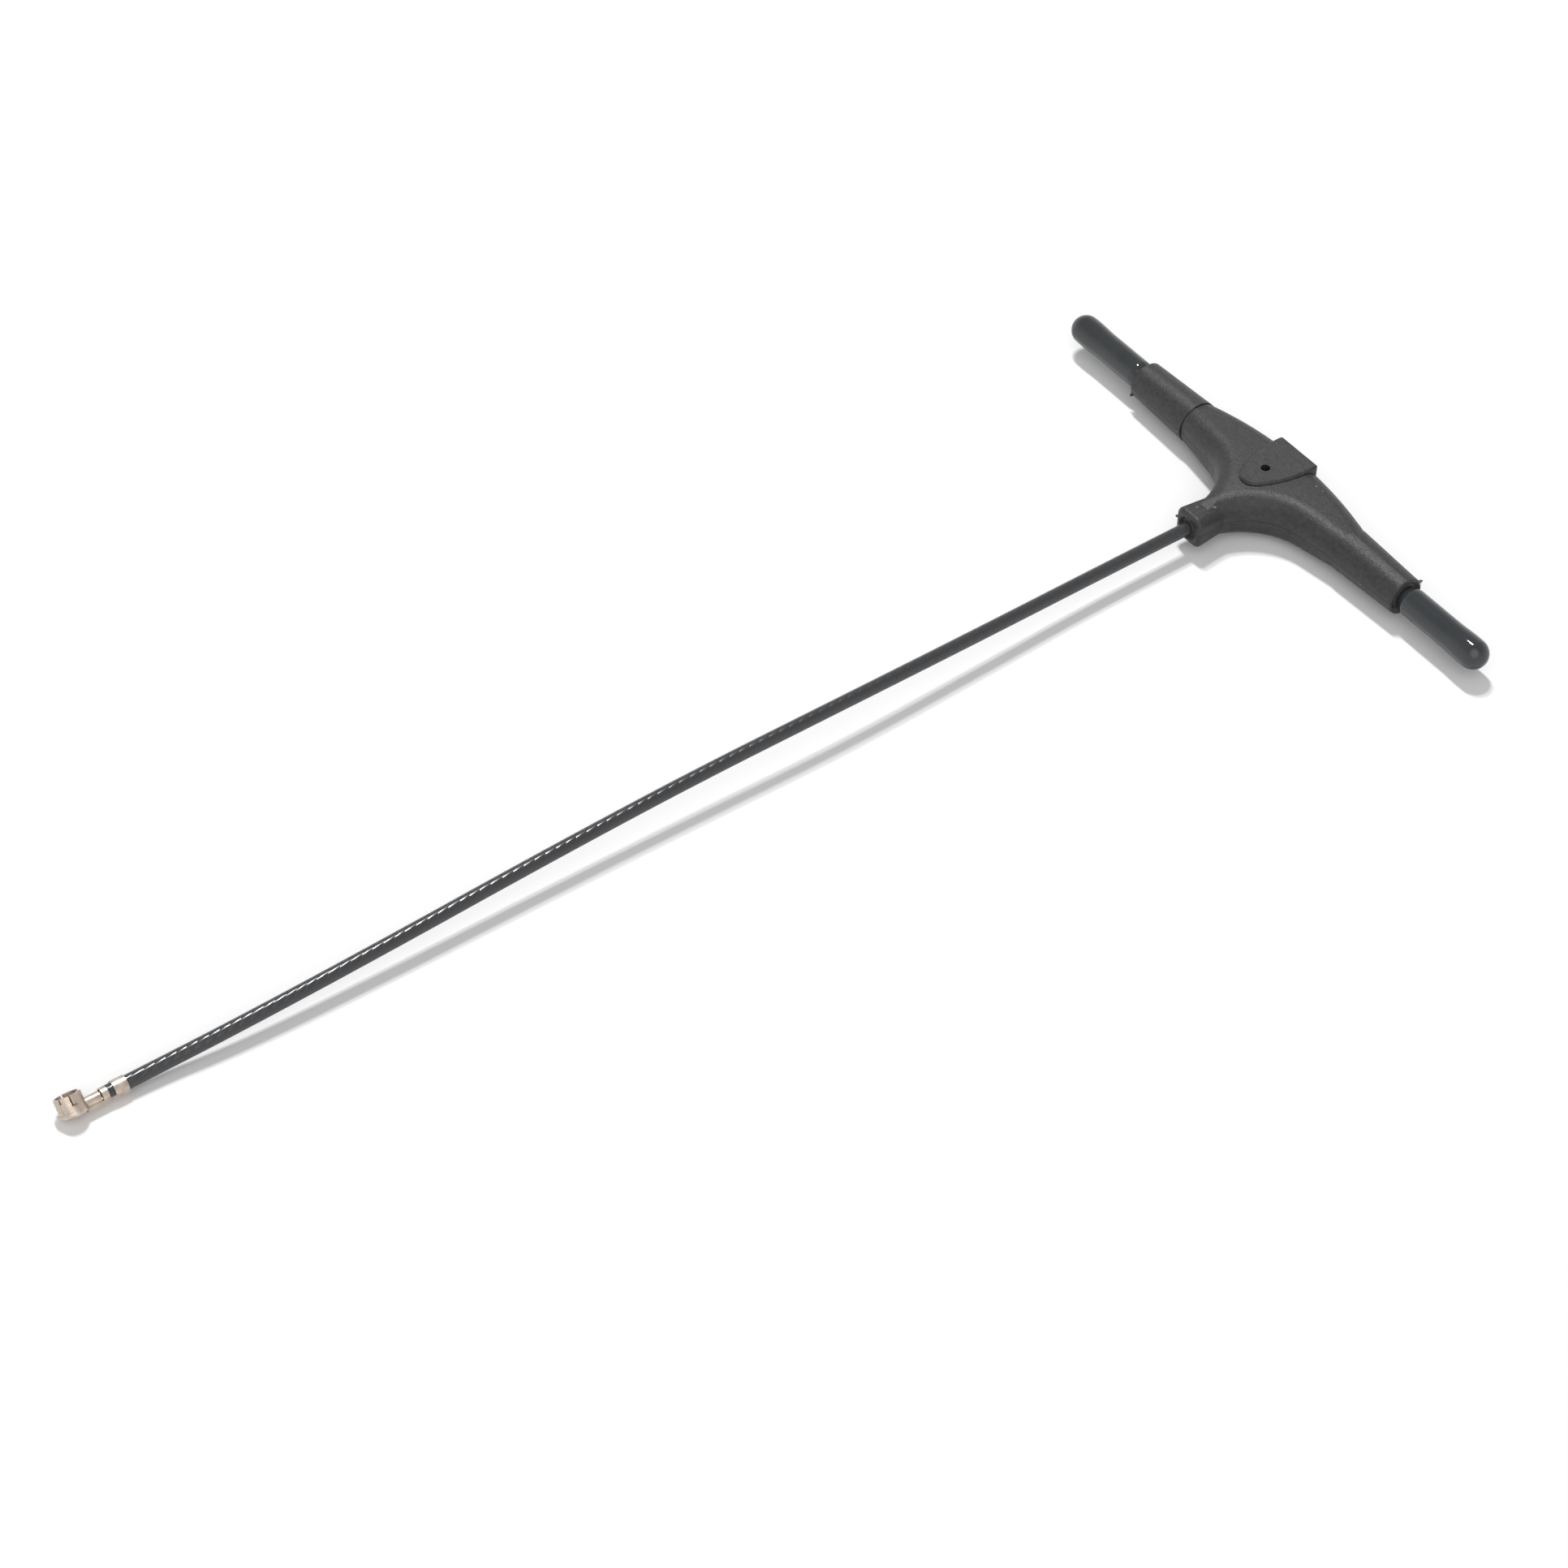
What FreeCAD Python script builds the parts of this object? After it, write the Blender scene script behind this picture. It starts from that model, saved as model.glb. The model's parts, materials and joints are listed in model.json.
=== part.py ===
import FreeCAD, Part
import math
import os

# T-shaped dipole receiver antenna: a moulded T housing, two closed glossy rods with the radiating
# elements in them, and a micro coax tail with a push-on plug.
# Millimetres. +X runs along the crossbar, the tail leaves along -Y, +Z is up, and z = 0 is the
# underside pad on which the T rests. x = y = 0 is where the crossbar and the stem cross.

V = FreeCAD.Vector

# housing, in plan
STEP_X = 9.7            # where the moulded collars start
ARM_HALF = 1.80         # half depth of the body at the collars
BACK_Y = 2.92           # back of the body at its middle
STEM_HALF = 1.22        # half width of the stem where the webs run into it
WEB_RADIUS = 5.2        # web between the stem and each arm, seen from above
WEB_CENTRE_Y = -7.5
# housing, in section
PAD_HALF = 2.44         # pad face to the middle plane
TOP_HALF = 2.22         # crown of the body to the middle plane
CROWN_X = 112.0         # crown radius along the crossbar
CROWN_Y = 44.0          # crown radius along the stem
CROWN_AT_Y = -0.7
FRONT_LAND = 0.10       # flat left at mid height between the roundings of the webs
BACK_LAND = 0.08        # flat left at the collars between the roundings of the back
# shield pad with its tab
PAD_HALF_WIDTH = 2.33
PAD_BACK_Y = 2.77
PAD_SIDE_Y = 1.70       # end of the straight sides
PAD_SIDE_RADIUS = 9.05  # bowed sides from there to the tip
PAD_TIP_Y = -3.44
PAD_CORNER = 0.28
PAD_EDGE = 0.16
PIN_HOLE_Y = -1.0       # hole left by the pin that holds the feed in the mould
PIN_HOLE_RADIUS = 0.40
PIN_HOLE_DEPTH = 0.75
# collars round the rods
COLLAR_END_X = 16.55
COLLAR_RADIUS = 1.95
COLLAR_END_RADIUS = 1.68
COLLAR_EDGE = 0.12
MOUTH_FLARE = 0.22
MOUTH_DEPTH = 0.45
# boss at the foot of the stem
BOSS_ROOT_Y = -5.4      # the boss grows out of the webs from here
BOSS_END_Y = -9.1
BOSS_HALF = 1.51
BOSS_ROOT_HALF = 1.28
BOSS_CORNER = 0.80
BOSS_EDGE = 0.38
FOOT_Y = -7.45          # foot of the stem, in the boss
STEM_SLOPE = 1.55       # the stem slopes down to the boss over this length
BOSS_MOUTH_FLARE = 0.48
BOSS_MOUTH_DEPTH = 0.65
# rods and elements
ROD_RADIUS = 1.25
ROD_ROOT_RADIUS = 0.92  # thinner inside the collar, so the moulding locks it
ROD_GAP = 0.06          # full round starts this far clear of the collar
SWELL_START_X = 22.3    # from here the rod swells a little to its round end
TIP_RADIUS = 1.32
TIP_CENTRE_X = 24.56
ROD_INNER_X = 4.0
ELEMENT_RADIUS = 0.50
ELEMENT_INNER_X = 0.9
ELEMENT_END_X = 23.9
# coax
JACKET_RADIUS = 0.565
BRAID_RADIUS = 0.465
CORE_RADIUS = 0.34
WIRE_RADIUS = 0.12
JACKET_START_Y = -4.4
BRAID_START_Y = -2.6
CORE_START_Y = -1.7
WIRE_START_Y = -0.75
BEND_SHARE = 0.45
# feed joints
JOINT_AT = (0.62, -0.62)
JOINT_RADIUS = 0.75
JOINT_HALF = 0.62
JOINT_EDGE = 0.30
PIGTAIL_FROM = (-0.62, -3.2)
PIGTAIL_TO = (-1.5, -0.3)
PIGTAIL_RADIUS = 0.38
# plug, in its own upright frame with the mating ring up; it lies rolled about the tail
SHEET = 0.08            # sheet of the shell
LID_LOW = 0.14          # the lid is joggled up from the base strip
LID = 0.36              # top of the lid under the ring, folded double
LID_RADIUS = 1.10       # the lid's rim is folded up round the ring
LID_RIM = 0.58
LID_ROUND = 0.28
PLUG_X = 0.29
PLUG_ROLL = 42.0        # degrees, ring towards -X
RING_Y = -112.99
RING_RADIUS = 1.06
RING_WALL = 0.15
RING_HEIGHT = 1.82
RING_SLIT = 0.13
SLOT_TURN = 90.0        # hooked slots that free a finger on each side, in degrees from the neck
SLOT_LOW = 1.00
SLOT_FOOT = 0.42        # length of the slot's foot
NOTCH_TURN = 142.0      # short notches between the fingers and the front
NOTCH_LOW = 1.42
GRIP_START_Y = -108.67  # wings on the jacket
GRIP_END_Y = -109.76
JACKET_END_Y = -110.16
CRIMP_START_Y = -110.21  # wings on the braid
CRIMP_END_Y = -110.73
NECK_START_Y = -110.83  # wings on the core
STRIP_UP = 0.28         # base strip, hollowed by what lies in it
SEAM = 0.08
MOUTH_HALF = 0.40       # half width of the ring's mouth at the neck
INSULATOR_TOP = 0.95
CONTACT_RADIUS = 0.40
CONTACT_BORE = 0.24
CONTACT_LOW = 0.46
CONTACT_FLOOR = 0.52 + SHEET
CONTACT_TOP = 1.50

TAIL_Z = PAD_HALF
AXIS_UP = JACKET_RADIUS + SHEET     # tail axis above the plug's base
ROLL = math.radians(PLUG_ROLL)
PLUG_Z = LID_ROUND + (LID_RADIUS - LID_ROUND) * math.sin(ROLL)
PLUG_Z += (AXIS_UP - LID_LOW - LID_ROUND) * math.cos(ROLL)     # the lid's round touches z = 0
BASE_Z = PLUG_Z - AXIS_UP
BEND_POINTS = [
    (0.0, -18.0, TAIL_Z),
    (0.22, -38.0, TAIL_Z + 0.15),
    (-0.04, -58.0, TAIL_Z + 0.05),
    (0.18, -78.0, TAIL_Z - 0.50),
    (PLUG_X, -96.0, PLUG_Z),
]


def line(a, b):
    return Part.LineSegment(a, b).toShape()


def mirrored(p):
    return V(-p.x, p.y, p.z)


def only(shape):
    solids = shape.Solids
    if len(solids) != 1:
        raise ValueError("%d solids where one was meant" % len(solids))
    return solids[0]


def rod(radius, start, end):
    run = V(*end) - V(*start)
    return Part.makeCylinder(radius, run.Length, V(*start), run)


def body_outline():
    """The body seen from above, with the web on its right side only and a plain block on its left."""
    centre = V(STEM_HALF + WEB_RADIUS, WEB_CENTRE_Y, 0)
    arm = V(STEP_X, -ARM_HALF, 0)
    reach = arm - centre
    leave = math.atan2(reach.y, reach.x) + math.acos(WEB_RADIUS / reach.Length)
    arrive = math.pi - math.asin(max(FOOT_Y - WEB_CENTRE_Y, 0.0) / WEB_RADIUS)

    def on_web(angle):
        return centre + V(math.cos(angle), math.sin(angle), 0) * WEB_RADIUS

    top, middle, foot = on_web(leave), on_web(0.5 * (leave + arrive)), on_web(arrive)
    sole, heel, end = V(foot.x, FOOT_Y, 0), V(-STEP_X, FOOT_Y, 0), V(STEP_X, ARM_HALF, 0)
    edges = [line(arm, top), Part.Arc(top, middle, foot).toShape()]
    if foot.y > FOOT_Y + 1e-6:
        edges.append(line(foot, sole))
    edges += [line(sole, heel), line(heel, mirrored(end)),
              Part.Arc(mirrored(end), V(0, BACK_Y, 0), end).toShape(), line(end, arm)]
    return Part.Face(Part.Wire(edges))


def crown_rise(x, y):
    """Height of the crowned top over the middle plane."""
    drop_y = CROWN_Y - math.sqrt(CROWN_Y ** 2 - (y - CROWN_AT_Y) ** 2)
    radius = CROWN_X - drop_y
    return TOP_HALF - drop_y - radius + math.sqrt(radius ** 2 - x ** 2)


def crown():
    """Everything under the crowned top: an arc along the stem, turned about a far axis along Y."""
    top = PAD_HALF + TOP_HALF
    centre = V(0, CROWN_AT_Y, top - CROWN_Y)
    lean = math.radians(14)
    front = centre + V(0, -math.sin(lean), math.cos(lean)) * CROWN_Y
    back = centre + V(0, math.sin(lean), math.cos(lean)) * CROWN_Y
    low = top - 9.0
    deep_front, deep_back = V(0, front.y, low), V(0, back.y, low)
    profile = Part.Face(Part.Wire([
        Part.Arc(front, V(0, CROWN_AT_Y, top), back).toShape(),
        line(back, deep_back), line(deep_back, deep_front), line(deep_front, front)]))
    axis, turn = V(0, 0, top - CROWN_X), 9.0
    profile.rotate(axis, V(0, 1, 0), -turn)
    return profile.revolve(axis, V(0, 1, 0), 2 * turn)


def boss_half(y):
    """Half width and half height of the tapered boss."""
    share = (y - BOSS_END_Y) / (BOSS_ROOT_Y - BOSS_END_Y)
    return BOSS_HALF + (BOSS_ROOT_HALF - BOSS_HALF) * share


def stem_slope():
    """What is cut from the top of the stem's end, so that it runs down to the boss."""
    out, far, reach = FOOT_Y - 0.1, FOOT_Y + STEM_SLOPE, 2 * BOSS_HALF
    low, high = PAD_HALF + boss_half(out), PAD_HALF + crown_rise(0, far)
    over = PAD_HALF + TOP_HALF
    corners = [V(-reach, out, low), V(-reach, far, high), V(-reach, far, over), V(-reach, out, over)]
    return Part.Face(Part.makePolygon(corners + corners[:1])).extrude(V(2 * reach, 0, 0))


def body():
    """The T body with its rounded rims, up to the collars and the boss.

    One web is rounded on a block wider than the T, and the half with that web is mirrored. The roundings can
    so be wider than half the stem, and meet there in a soft ridge.
    """
    plan = body_outline()
    plan.translate(V(0, 0, -1))
    top = crown()
    bottom = top.mirror(V(0, 0, PAD_HALF), V(0, 0, 1))
    block = only(plan.extrude(V(0, 0, 2 * PAD_HALF + 2)).common(top).common(bottom))

    def rims(shape, at_back):
        found = []
        for edge in shape.Edges:
            at = edge.CenterOfMass
            level = abs(at.z - PAD_HALF) > 0.7 * TOP_HALF
            free = abs(abs(at.x) - STEP_X) > 0.01 and at.y > FOOT_Y + 0.01
            side = at.y > 0 if at_back else at.y < -0.9 * ARM_HALF
            if level and free and side:
                found.append(edge)
        return found

    front_round = min(crown_rise(STEP_X, -ARM_HALF), crown_rise(STEM_HALF, FOOT_Y)) - FRONT_LAND
    back_round = crown_rise(STEP_X, ARM_HALF) - BACK_LAND
    block = block.makeFillet(back_round, rims(block, True))
    block = block.makeFillet(front_round, rims(block, False))
    slope = stem_slope()
    block = block.cut(slope).cut(slope.mirror(V(0, 0, PAD_HALF), V(0, 0, 1)))
    reach = 2 * STEP_X
    half = only(block.common(Part.makeBox(reach, 2 * reach, 2 * PAD_HALF, V(0, -reach, 0))))
    return only(half.fuse(half.mirror(V(0, 0, 0), V(1, 0, 0))).removeSplitter())


def shield_pad():
    """The shield-shaped pad, proud on both faces, with its tab at the back."""
    corner, side = V(PAD_HALF_WIDTH, PAD_BACK_Y, 0), V(PAD_HALF_WIDTH, PAD_SIDE_Y, 0)
    bow = V(PAD_HALF_WIDTH - PAD_SIDE_RADIUS, PAD_SIDE_Y, 0)
    drop = PAD_SIDE_Y - PAD_TIP_Y
    tip_radius = (PAD_SIDE_RADIUS ** 2 - drop ** 2 - bow.x ** 2) / (2 * (PAD_SIDE_RADIUS - drop))
    reach = (V(0, PAD_TIP_Y + tip_radius, 0) - bow).normalize()
    tip = bow + reach * PAD_SIDE_RADIUS
    half = 0.5 * math.atan2(reach.y, reach.x)
    waist = bow + V(math.cos(half), math.sin(half), 0) * PAD_SIDE_RADIUS
    plan = Part.Face(Part.Wire([
        line(mirrored(corner), corner), line(corner, side), Part.Arc(side, waist, tip).toShape(),
        Part.Arc(tip, V(0, PAD_TIP_Y, 0), mirrored(tip)).toShape(),
        Part.Arc(mirrored(tip), mirrored(waist), mirrored(side)).toShape(),
        line(mirrored(side), mirrored(corner))]))
    block = plan.extrude(V(0, 0, 2 * PAD_HALF))
    middle = [e for e in block.Edges if abs(e.CenterOfMass.z - PAD_HALF) < 0.01]
    upright = [e for e in middle if e.CenterOfMass.y > PAD_SIDE_Y + 0.1]
    block = block.makeFillet(PAD_CORNER, upright)
    flat = [e for e in block.Edges if abs(abs(e.CenterOfMass.z - PAD_HALF) - PAD_HALF) < 0.01]
    return only(block.makeChamfer(PAD_EDGE, flat))


def collar(side):
    """A tapered collar with a flared mouth where its rod comes out."""
    cone = Part.makeCone(COLLAR_RADIUS, COLLAR_END_RADIUS, COLLAR_END_X - STEP_X,
                         V(side * STEP_X, 0, PAD_HALF), V(side, 0, 0))
    flare = Part.makeCone(ROD_ROOT_RADIUS, ROD_RADIUS + MOUTH_FLARE, MOUTH_DEPTH,
                          V(side * (COLLAR_END_X - MOUTH_DEPTH), 0, PAD_HALF), V(side, 0, 0))
    rim = [e for e in cone.Edges if abs(e.CenterOfMass.x - side * COLLAR_END_X) < 0.01]
    return cone.makeChamfer(COLLAR_EDGE, rim).cut(flare)


def boss():
    """The rounded square boss at the foot of the stem, with the flared mouth of the tail."""
    big, small = BOSS_HALF, BOSS_ROOT_HALF
    block = Part.makeWedge(-big, BOSS_END_Y, PAD_HALF - big, PAD_HALF - small, -small,
                           big, BOSS_ROOT_Y, PAD_HALF + big, PAD_HALF + small, small)
    middle_y = 0.5 * (BOSS_ROOT_Y + BOSS_END_Y)
    block = block.makeFillet(BOSS_CORNER, [e for e in block.Edges if abs(e.CenterOfMass.y - middle_y) < 0.01])
    block = block.makeFillet(BOSS_EDGE, [e for e in block.Edges if abs(e.CenterOfMass.y - BOSS_END_Y) < 0.01])
    flare = Part.makeCone(JACKET_RADIUS + BOSS_MOUTH_FLARE, JACKET_RADIUS, BOSS_MOUTH_DEPTH,
                          V(0, BOSS_END_Y, PAD_HALF), V(0, 1, 0))
    return block.cut(flare)


def housing(inner):
    """The whole moulding, cast round everything in it."""
    whole = body().multiFuse([shield_pad(), collar(-1), collar(1), boss()])
    hole = Part.makeCylinder(PIN_HOLE_RADIUS, PIN_HOLE_DEPTH, V(0, PIN_HOLE_Y, 2 * PAD_HALF - PIN_HOLE_DEPTH))
    whole = whole.cut(hole)
    for piece in inner:
        whole = whole.cut(piece)
    return only(whole.removeSplitter())


def rod_sleeve(side):
    """A closed glossy tube with a round end."""
    def at(x, radius):
        return V(side * x, 0, PAD_HALF + radius)

    shoulder_x = COLLAR_END_X + ROD_GAP
    back_x = SWELL_START_X - TIP_CENTRE_X
    turn = math.atan2(ROD_RADIUS, back_x) - math.acos(TIP_RADIUS / math.hypot(back_x, ROD_RADIUS))

    def on_tip(angle):
        return at(TIP_CENTRE_X + TIP_RADIUS * math.cos(angle), TIP_RADIUS * math.sin(angle))

    corners = [at(ROD_INNER_X, 0), at(ROD_INNER_X, ROD_ROOT_RADIUS), at(shoulder_x, ROD_ROOT_RADIUS),
               at(shoulder_x, ROD_RADIUS), at(SWELL_START_X, ROD_RADIUS), on_tip(turn)]
    edges = [line(p, q) for p, q in zip(corners, corners[1:])]
    edges += [Part.Arc(on_tip(turn), on_tip(turn / 2), on_tip(0)).toShape(), line(on_tip(0), corners[0])]
    sleeve = Part.Face(Part.Wire(edges)).revolve(V(0, 0, PAD_HALF), V(1, 0, 0), 360)
    return only(sleeve.cut(element(side)))


def element(side):
    return rod(ELEMENT_RADIUS, (side * ELEMENT_INNER_X, 0, PAD_HALF), (side * ELEMENT_END_X, 0, PAD_HALF))


def solder():
    """The blob of solder at the feed, a short bevelled drum."""
    drum = Part.makeCylinder(JOINT_RADIUS, 2 * JOINT_HALF, V(*JOINT_AT, PAD_HALF - JOINT_HALF))
    rims = [e for e in drum.Edges if abs(abs(e.CenterOfMass.z - PAD_HALF) - JOINT_HALF) < 0.01]
    return drum.makeChamfer(JOINT_EDGE, rims)


def bends():
    """Start, corner radii and corners of the tail, from the jacket's own ends."""
    start, end = V(0, JACKET_START_Y, TAIL_Z), V(PLUG_X, JACKET_END_Y, PLUG_Z)
    points = [start] + [V(*p) for p in BEND_POINTS] + [end]
    radii = []
    for a, b, c in zip(points, points[1:], points[2:]):
        before, after = b - a, c - b
        turn = before.getAngle(after)
        radii.append(BEND_SHARE * min(before.Length, after.Length) / math.tan(turn / 2))
    return points, radii


def tail_path(start_y, end_y):
    """Straight runs with a tangent arc at each corner, the same for every layer of the coax."""
    points, radii = bends()
    points[0] = V(0, start_y, TAIL_Z)
    points[-1] = V(PLUG_X, end_y, PLUG_Z)
    edges, at = [], points[0]
    for a, b, c, radius in zip(points, points[1:], points[2:], radii):
        before, after = (b - a).normalize(), (c - b).normalize()
        turn = before.getAngle(after)
        cut = radius * math.tan(turn / 2)
        enter, leave = b - before * cut, b + after * cut
        towards = (after - before).normalize()
        crown_point = b + towards * (radius / math.cos(turn / 2) - radius)
        edges += [line(at, enter), Part.Arc(enter, crown_point, leave).toShape()]
        at = leave
    return Part.Wire(edges + [line(at, points[-1])])


def layer(name, outer, inner, start_y, end_y):
    """One layer of the coax, swept along the tail."""
    path = tail_path(start_y, end_y)
    start, along = V(0, start_y, TAIL_Z), V(0, -1, 0)
    ring = Part.Face(Part.Wire(Part.makeCircle(outer, start, along)))
    area = math.pi * outer ** 2
    if inner:
        ring = ring.cut(Part.Face(Part.Wire(Part.makeCircle(inner, start, along)))).Faces[0]
        area -= math.pi * inner ** 2
    tube = only(path.makePipe(ring))
    sizes = (name, tube.Volume, area * path.Length, path.Length)
    print("%s: volume %.3f, section x length %.3f, length %.2f" % sizes)
    return tube


def wings(around, start_y, end_y):
    """Wings rolled round one layer of the coax, flat on the base strip, with the seam on top."""
    outside = around + SHEET
    roll = rod(outside, (PLUG_X, start_y, PLUG_Z), (PLUG_X, end_y, PLUG_Z))
    foot = Part.makeBox(1.4 * outside, start_y - end_y, AXIS_UP, V(PLUG_X - 0.7 * outside, end_y, BASE_Z))
    seam = Part.makeBox(SEAM, start_y - end_y, outside, V(PLUG_X - SEAM / 2, end_y, PLUG_Z))
    return roll.fuse(foot).cut(seam)


def disc(radius, low, high):
    """A disc on the axis of the ring, between two levels above the plug's base."""
    return Part.makeCylinder(radius, high - low, V(PLUG_X, RING_Y, BASE_Z + low))


def slit(turn, low, high, start, end):
    """A radial slit through the wall of the ring, between two levels and two places along the wall."""
    bar = Part.makeBox(end - start, RING_RADIUS, high - low, V(start, 0.5 * RING_RADIUS, BASE_Z + low))
    bar.rotate(V(0, 0, 0), V(0, 0, 1), turn)
    bar.translate(V(PLUG_X, RING_Y, 0))
    return bar


def slits():
    """On each side of the ring a hooked slot, which frees a finger, and a short notch in the rim."""
    found = []
    for side in (-1, 1):
        front, heel = -side * SLOT_FOOT / 2, side * SLOT_FOOT / 2
        upright = sorted((front, front + side * RING_SLIT))
        foot = sorted((front, heel))
        found += [slit(side * SLOT_TURN, SLOT_LOW, 2 * RING_HEIGHT, *upright),
                  slit(side * SLOT_TURN, SLOT_LOW, SLOT_LOW + RING_SLIT, *foot),
                  slit(side * NOTCH_TURN, NOTCH_LOW, 2 * RING_HEIGHT, -RING_SLIT / 2, RING_SLIT / 2)]
    return found


def plug_shell(inner):
    """The stamped shell: mating ring with slits and a mouth, base strip, and three pairs of wings."""
    lid = disc(LID_RADIUS, LID_LOW, LID_RIM)
    rim = [e for e in lid.Edges if abs(e.CenterOfMass.z - BASE_Z - LID_LOW) < 0.01]
    ring = lid.makeFillet(LID_ROUND, rim).fuse(disc(RING_RADIUS, LID, RING_HEIGHT))
    mouth = Part.makeBox(2 * MOUTH_HALF, 1.5 * RING_RADIUS, RING_HEIGHT,
                         V(PLUG_X - MOUTH_HALF, RING_Y, PLUG_Z - 0.05))
    bore = disc(RING_RADIUS - RING_WALL, LID, RING_HEIGHT + 1)
    for tool in [bore, mouth] + slits():
        ring = ring.cut(tool)
    half = 0.7 * (BRAID_RADIUS + SHEET)
    foot_y = RING_Y + 0.8 * RING_RADIUS
    strip = Part.makeBox(2 * half, GRIP_START_Y - foot_y, STRIP_UP, V(PLUG_X - half, foot_y, BASE_Z))
    whole = ring.multiFuse([
        strip, wings(JACKET_RADIUS, GRIP_START_Y, GRIP_END_Y),
        wings(BRAID_RADIUS, CRIMP_START_Y, CRIMP_END_Y),
        wings(CORE_RADIUS, NECK_START_Y, RING_Y + RING_RADIUS - 1.2 * RING_WALL)])
    for piece in inner:
        whole = whole.cut(piece)
    return only(whole.removeSplitter())


def plug_insulator(inner):
    """The disc that holds the contact in the ring."""
    filling = disc(RING_RADIUS - RING_WALL, LID, INSULATOR_TOP)
    for piece in inner + [disc(CONTACT_BORE, CONTACT_FLOOR, INSULATOR_TOP)]:
        filling = filling.cut(piece)
    return only(filling)


def plug_contact(wire):
    """The centre socket, open upwards, with the wire let into its wall."""
    socket = disc(CONTACT_RADIUS, CONTACT_LOW, CONTACT_TOP)
    socket = socket.cut(disc(CONTACT_BORE, CONTACT_FLOOR, CONTACT_TOP))
    return only(socket.cut(wire))


def rolled(piece):
    """Turns a piece of the plug about the tail, as it lies."""
    piece = piece.copy()
    piece.rotate(V(PLUG_X, RING_Y, PLUG_Z), V(0, 1, 0), -PLUG_ROLL)
    return piece


def main():
    os.makedirs("parts", exist_ok=True)
    neck_end_y = RING_Y + 0.8 * RING_RADIUS
    wire_end_y = RING_Y + 0.5 * (CONTACT_RADIUS + CONTACT_BORE)
    _, radii = bends()
    print("bend radii", [round(r, 1) for r in radii])
    jacket = layer("coax_jacket", JACKET_RADIUS, BRAID_RADIUS, JACKET_START_Y, JACKET_END_Y)
    braid = layer("coax_braid", BRAID_RADIUS, CORE_RADIUS, BRAID_START_Y, CRIMP_END_Y)
    core = layer("coax_core", CORE_RADIUS, WIRE_RADIUS, CORE_START_Y, neck_end_y)
    wire = layer("coax_wire", WIRE_RADIUS, 0, WIRE_START_Y, wire_end_y)
    left_element, right_element = element(-1), element(1)
    left_rod, right_rod = rod_sleeve(-1), rod_sleeve(1)
    joint = solder().cut(right_element).cut(wire).cut(core)
    pigtail = rod(PIGTAIL_RADIUS, (*PIGTAIL_FROM, PAD_HALF), (*PIGTAIL_TO, PAD_HALF))
    pigtail = only(pigtail.cut(left_element).cut(braid).cut(core))
    contact = plug_contact(wire)
    insulator = plug_insulator([contact, wire, core])
    shell = plug_shell([jacket, braid, core, wire, insulator])
    cast_in = [left_rod, right_rod, left_element, right_element, joint, pigtail, jacket, braid, core, wire]
    nodes = {
        "housing": housing(cast_in),
        "left_rod": left_rod, "right_rod": right_rod,
        "left_element": left_element, "right_element": right_element,
        "feed_joint": only(joint), "braid_pigtail": pigtail,
        "coax_jacket": jacket, "coax_braid": braid, "coax_core": core, "coax_wire": wire,
        "plug_shell": rolled(shell), "plug_insulator": rolled(insulator), "plug_contact": rolled(contact),
    }
    for name, shape in nodes.items():
        if not shape.isValid():
            raise ValueError(name + " is not a valid solid")
        print("%s: volume %.3f mm3" % (name, shape.Volume))
        shape.exportStep("parts/%s.step" % name)


main()
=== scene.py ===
# %% [markdown]
# A T-shaped receiver antenna, dressed for its photograph.
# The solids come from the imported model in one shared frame: metres, the crossbar along X, the tail along
# -Y, and the floor at z = 0. This lesson adds what solids can't show: finishes, the supple tail, and small
# marks of how the antenna was moulded and crimped.

import json
import math

import bpy
from mathutils import Matrix, Vector

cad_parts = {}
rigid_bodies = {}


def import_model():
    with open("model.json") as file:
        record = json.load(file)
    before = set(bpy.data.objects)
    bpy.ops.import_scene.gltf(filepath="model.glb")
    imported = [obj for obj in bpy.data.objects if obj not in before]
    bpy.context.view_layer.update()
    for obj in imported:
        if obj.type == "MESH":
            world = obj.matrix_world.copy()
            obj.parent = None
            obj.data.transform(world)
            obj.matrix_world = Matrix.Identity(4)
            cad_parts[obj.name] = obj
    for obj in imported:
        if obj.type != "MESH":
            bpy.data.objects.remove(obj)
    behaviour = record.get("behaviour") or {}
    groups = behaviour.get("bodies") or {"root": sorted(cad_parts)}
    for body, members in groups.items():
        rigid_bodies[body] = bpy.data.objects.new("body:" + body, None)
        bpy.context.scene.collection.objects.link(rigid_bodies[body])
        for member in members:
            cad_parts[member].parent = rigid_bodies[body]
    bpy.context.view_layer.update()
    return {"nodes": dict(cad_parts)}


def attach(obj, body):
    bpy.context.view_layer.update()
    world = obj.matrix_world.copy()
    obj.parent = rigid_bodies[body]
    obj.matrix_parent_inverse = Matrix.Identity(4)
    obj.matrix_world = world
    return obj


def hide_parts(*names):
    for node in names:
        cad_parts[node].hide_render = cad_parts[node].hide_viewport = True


if bpy.data.objects:
    bpy.ops.object.select_all(action="SELECT")
    bpy.ops.object.delete()
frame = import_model()
nodes = frame["nodes"]
MM = 0.001

# %% [markdown]
# The camera comes first, because everything else is judged through it. It was solved from the T's own
# symmetry: a long lens about 35 cm away, 46 degrees above the table, looking across the crossbar. The
# picture is square, so the lens is the focal length in pixels over the picture's width in pixels, times the
# sensor's width.

# %% Place the camera
AZIMUTH, ELEVATION, ROLL = (math.radians(angle) for angle in (53.832, 45.740, 0.521))
DISTANCE, ASIDE, ABOVE = 349.938 * MM, -40.367 * MM, -24.697 * MM
FOCAL_PIXELS, PICTURE_PIXELS, SENSOR_WIDTH = 5213.706, 1932, 36
NEAREST, FURTHEST = 0.01, 20
CROSSBAR_Z = 2.44 * MM

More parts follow.
